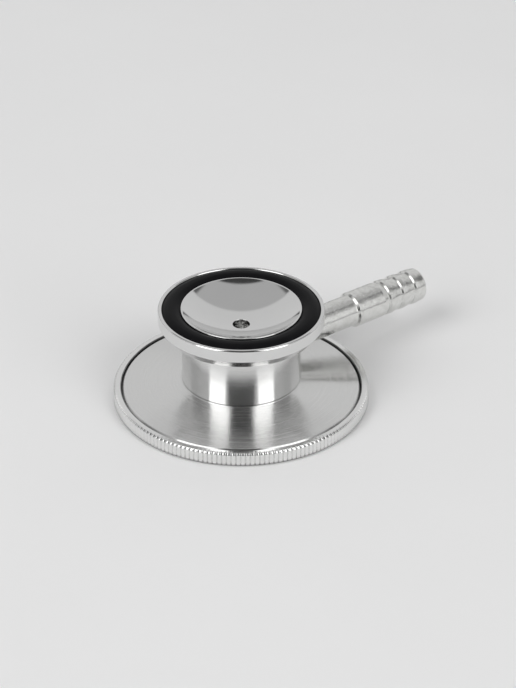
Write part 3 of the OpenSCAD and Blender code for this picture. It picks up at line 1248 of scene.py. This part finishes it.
@dataclass
class Studio:
    """The pale floor, the surroundings, the lamps and the camera at the photo's angle."""

    azimuth: float = -37.0
    elevation: float = 32.79
    distance: float = 0.411
    focal_pixels: float = 2224.8
    origin_u: float = 241.25
    origin_v: float = 394.34
    image_width: float = 516.0
    image_height: float = 688.0
    sensor: float = 36.0
    floor_radius: float = 3.0
    underside_gap: float = 0.75
    underside_glow: float = 0.65
    backdrop_glow: float = 0.8
    panel_glow: float = 0.59
    floor_dull: Color = (0.84, 0.84, 0.84)
    floor_pale: Color = (0.87, 0.87, 0.87)
    panel_back: Ramp = (0.0, 1.0, -0.72, -0.64)
    panel_side: Ramp = (0.93, 0.64, -0.6, 0.05)
    gap_back: Ramp = (0.0, 1.0, -0.66, -0.6)
    gap_side: Ramp = (1.8, 1.21, 0.1, 0.28)
    gap_kept: Ramp = (0.2, 0.6, -0.15, 0.05)
    dark_front: Ramp = (0.0, 1.0, 0.08, 0.12)
    dark_reach: Ramp = (0.44, 1.45, 0.74, 0.84)
    wall_fade: Ramp = (0.87, 0.83, 0.0, 0.8)
    skirting: Ramp = (0.15, 1.0, 0.06, 0.11)
    high_share: float = 0.12
    middle_share: float = 0.22
    low_share: float = 0.02

    def level(self, turn: float) -> Vector:
        """Gives the level direction at an angle round from the camera, in degrees."""
        angle = math.radians(self.azimuth + turn)
        return Vector((math.sin(angle), -math.cos(angle), 0.0))

    def camera(self) -> None:
        """Makes the camera at the photo's angle, with the object where the photo has it."""
        tilt = math.radians(self.elevation)
        away = self.level(0.0) * math.cos(tilt) + Vector((0.0, 0.0, math.sin(tilt)))
        ahead, right = -away, self.level(90.0)
        above = right.cross(ahead)
        pan = math.atan((self.origin_u - self.image_width / 2) / self.focal_pixels)
        drop = (self.origin_v - self.image_height / 2) / self.focal_pixels
        nod = math.atan(drop * math.cos(pan))
        swing = Quaternion(above, pan)
        ahead, right = swing @ ahead, swing @ right
        lift = Quaternion(right, nod)
        ahead, above = lift @ ahead, lift @ above
        data = bpy.data.cameras.new("camera")
        data.sensor_width = self.sensor
        data.lens = self.focal_pixels * self.sensor / self.image_height
        data.clip_start, data.clip_end = 0.01, 20.0
        camera = bpy.data.objects.new("camera", data)
        axes = Matrix((right, above, -ahead)).transposed().to_4x4()
        camera.matrix_world = Matrix.Translation(away * self.distance) @ axes
        bpy.context.scene.collection.objects.link(camera)
        bpy.context.scene.camera = camera

    def lamp(self, box: SoftBox) -> Object:
        """Makes one lamp, aimed at the object.

        Args:
            box: The lamp's place, size and glow.

        Returns:
            The lamp.
        """
        data = bpy.data.lights.new(box.name, "AREA")
        data.shape = "RECTANGLE"
        data.size = 2 * box.distance * math.tan(math.radians(box.half_width))
        data.size_y = 2 * box.distance * math.tan(math.radians(box.half_height))
        data.energy = math.pi * data.size * data.size_y * box.glow
        lamp = bpy.data.objects.new(box.name, data)
        rise = math.radians(box.rise)
        up = Vector((0, 0, math.sin(rise)))
        place = (self.level(box.turn) * math.cos(rise) + up) * box.distance
        lamp.location = place
        lamp.rotation_mode = "QUATERNION"
        roll = Quaternion((0.0, 0.0, 1.0), math.radians(box.roll))
        lamp.rotation_quaternion = (-place).to_track_quat("-Z", "Y") @ roll
        bpy.context.scene.collection.objects.link(lamp)
        return lamp

    def floor(self) -> None:
        """Makes the pale floor, which neither hides the underside nor keeps light from it."""
        shape = bmesh.new()
        bmesh.ops.create_circle(shape, cap_ends=True, segments=96, radius=self.floor_radius)
        floor = linked("floor", shape)
        sheet = Paint("pale_floor")
        grain = sheet.noise(sheet.place(), 0.02)
        sheet.coat(Base_Color=sheet.mix(grain, self.floor_dull, self.floor_pale), Roughness=0.7,
                   Specular_IOR_Level=0.2)
        clear = sheet.add("ShaderNodeBsdfTransparent").outputs[0]
        under = sheet.add("ShaderNodeNewGeometry").outputs["Backfacing"]
        path = sheet.add("ShaderNodeLightPath")
        from_below = sheet.times(under, path.outputs["Is Camera Ray"])
        length = path.outputs["Ray Length"]
        underside = sheet.spread(length, 1.0, 0.0, self.underside_gap * MM, self.underside_gap * 1.2 * MM)
        choice = sheet.add("ShaderNodeMixShader")
        share = sheet.math("MAXIMUM", from_below, underside)
        for into, value in zip(choice.inputs, (share, sheet.surface.outputs["BSDF"], clear)):
            sheet.feed(into, value)
        sheet.feed(sheet.output.inputs["Surface"], choice.outputs[0])
        floor.data.materials.append(sheet.material)

    def surroundings(self) -> None:
        """Makes the room: pale walls, a grey panel overhead, a dark camera side, light from below."""
        world = bpy.data.worlds.new("pale_room")
        world.use_nodes = True
        bpy.context.scene.world = world
        sheet = NodeSheet(world.node_tree)
        direction = sheet.add("ShaderNodeTexCoord").outputs["Generated"]
        up = sheet.parts(direction)[2]
        side, front = (sheet.vector("DOT_PRODUCT", direction, tuple(self.level(turn))).outputs["Value"]
                       for turn in (90.0, 0.0))
        high = sheet.math("MAXIMUM", up, 0.03)
        ahead = sheet.math("DIVIDE", front, high)
        across = sheet.math("DIVIDE", sheet.math("ABSOLUTE", side, 0.0), high)
        turn = sheet.math("ABSOLUTE", sheet.math("ARCTAN2", side, front), 0.0)
        edge = sheet.minus(across, sheet.spread(ahead, *self.panel_side))
        panel = sheet.times(
            sheet.spread(ahead, *self.panel_back), sheet.spread(edge, 1.0, 0.0, 0.0, 0.05))
        past = sheet.minus(across, sheet.spread(ahead, *self.gap_side))
        gap = sheet.times(
            sheet.spread(edge, 0.0, 1.0, -0.02, 0.04), sheet.spread(past, 1.0, 0.0, -0.03, 0.03),
            sheet.spread(ahead, *self.gap_back))
        beyond = sheet.minus(turn, sheet.spread(up, *self.dark_reach))
        dark = sheet.times(
            sheet.spread(ahead, *self.dark_front), sheet.spread(beyond, 1.0, 0.0, -0.05, 0.05))
        dark_kept = sheet.minus(
            sheet.spread(ahead, self.high_share, self.middle_share, 0.4, 0.8),
            sheet.spread(ahead, 0.0, self.middle_share - self.low_share, 1.3, 3.0))
        wall = sheet.times(sheet.spread(up, *self.wall_fade), sheet.spread(up, *self.skirting))
        level = sheet.spread(panel, wall, self.panel_glow)
        for shade, kept in ((gap, sheet.spread(ahead, *self.gap_kept)), (dark, dark_kept)):
            level = sheet.spread(shade, level, sheet.times(level, kept))
        level = sheet.math("MAXIMUM", level, sheet.spread(up, self.underside_glow, 0.0, -0.3, -0.1))
        seen = sheet.add("ShaderNodeLightPath").outputs["Is Camera Ray"]
        pale = sheet.spread(seen, level, self.backdrop_glow)
        glow = sheet.add("ShaderNodeBackground", Strength=pale)
        sheet.add("ShaderNodeOutputWorld", Surface=glow.outputs[0])

    def build(self) -> None:
        """Makes the whole studio."""
        self.camera()
        self.floor()
        self.surroundings()
        for box in BOXES:
            self.lamp(box).visible_diffuse = False
        for card in CARDS:
            self.lamp(card).visible_glossy = False


def main() -> None:
    """Builds the chestpiece and its studio."""
    logging.basicConfig(level=logging.INFO, format="%(name)s: %(message)s")
    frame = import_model()
    bpy.context.scene.view_settings.view_transform = "Standard"
    Studio().build()
    stem = Stem()
    Bell().build()
    SoftRing().build()
    Hub().build(stem.height)
    DiaphragmSide().build(frame)
    stem.build()
    Valve().dress(frame)
    LOG.info("all pieces are in place")


if __name__ == "__main__":
    main()
